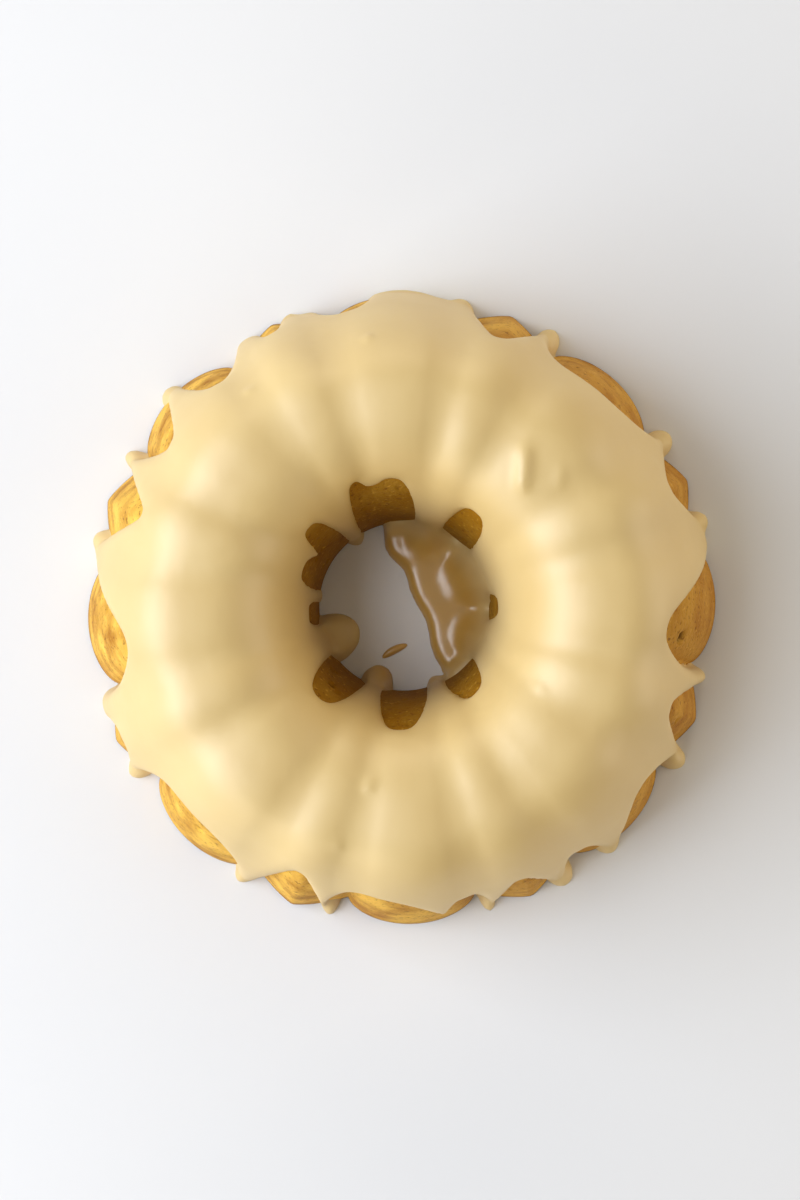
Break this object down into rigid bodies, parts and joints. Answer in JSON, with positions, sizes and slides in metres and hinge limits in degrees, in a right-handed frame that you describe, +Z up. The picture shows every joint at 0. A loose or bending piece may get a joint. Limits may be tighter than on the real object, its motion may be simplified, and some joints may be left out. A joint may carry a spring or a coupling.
{
  "type": "bundt cake",
  "caption": "Fluted ring cake with a hole through its middle, under thick caramel icing that runs down both walls in drips and pools in the hole.",
  "frame": {"origin": "on the ring's axis at the height of its flat base", "axes": "+Z up along the ring's axis, from the base to the crown; +X through the ridge of a wide flute, with the icing's pool in the hole on the +X side"},
  "size_m": [0.2505, 0.2528, 0.0908],
  "materials": {
    "crust": "baked golden-brown cake crust, fine pores, matte to slightly greasy",
    "icing": "poured caramel icing set to a smooth satin gloss"
  },
  "bodies": {
    "root": {"cake": "crust", "icing": "icing"}
  },
  "joints": []
}
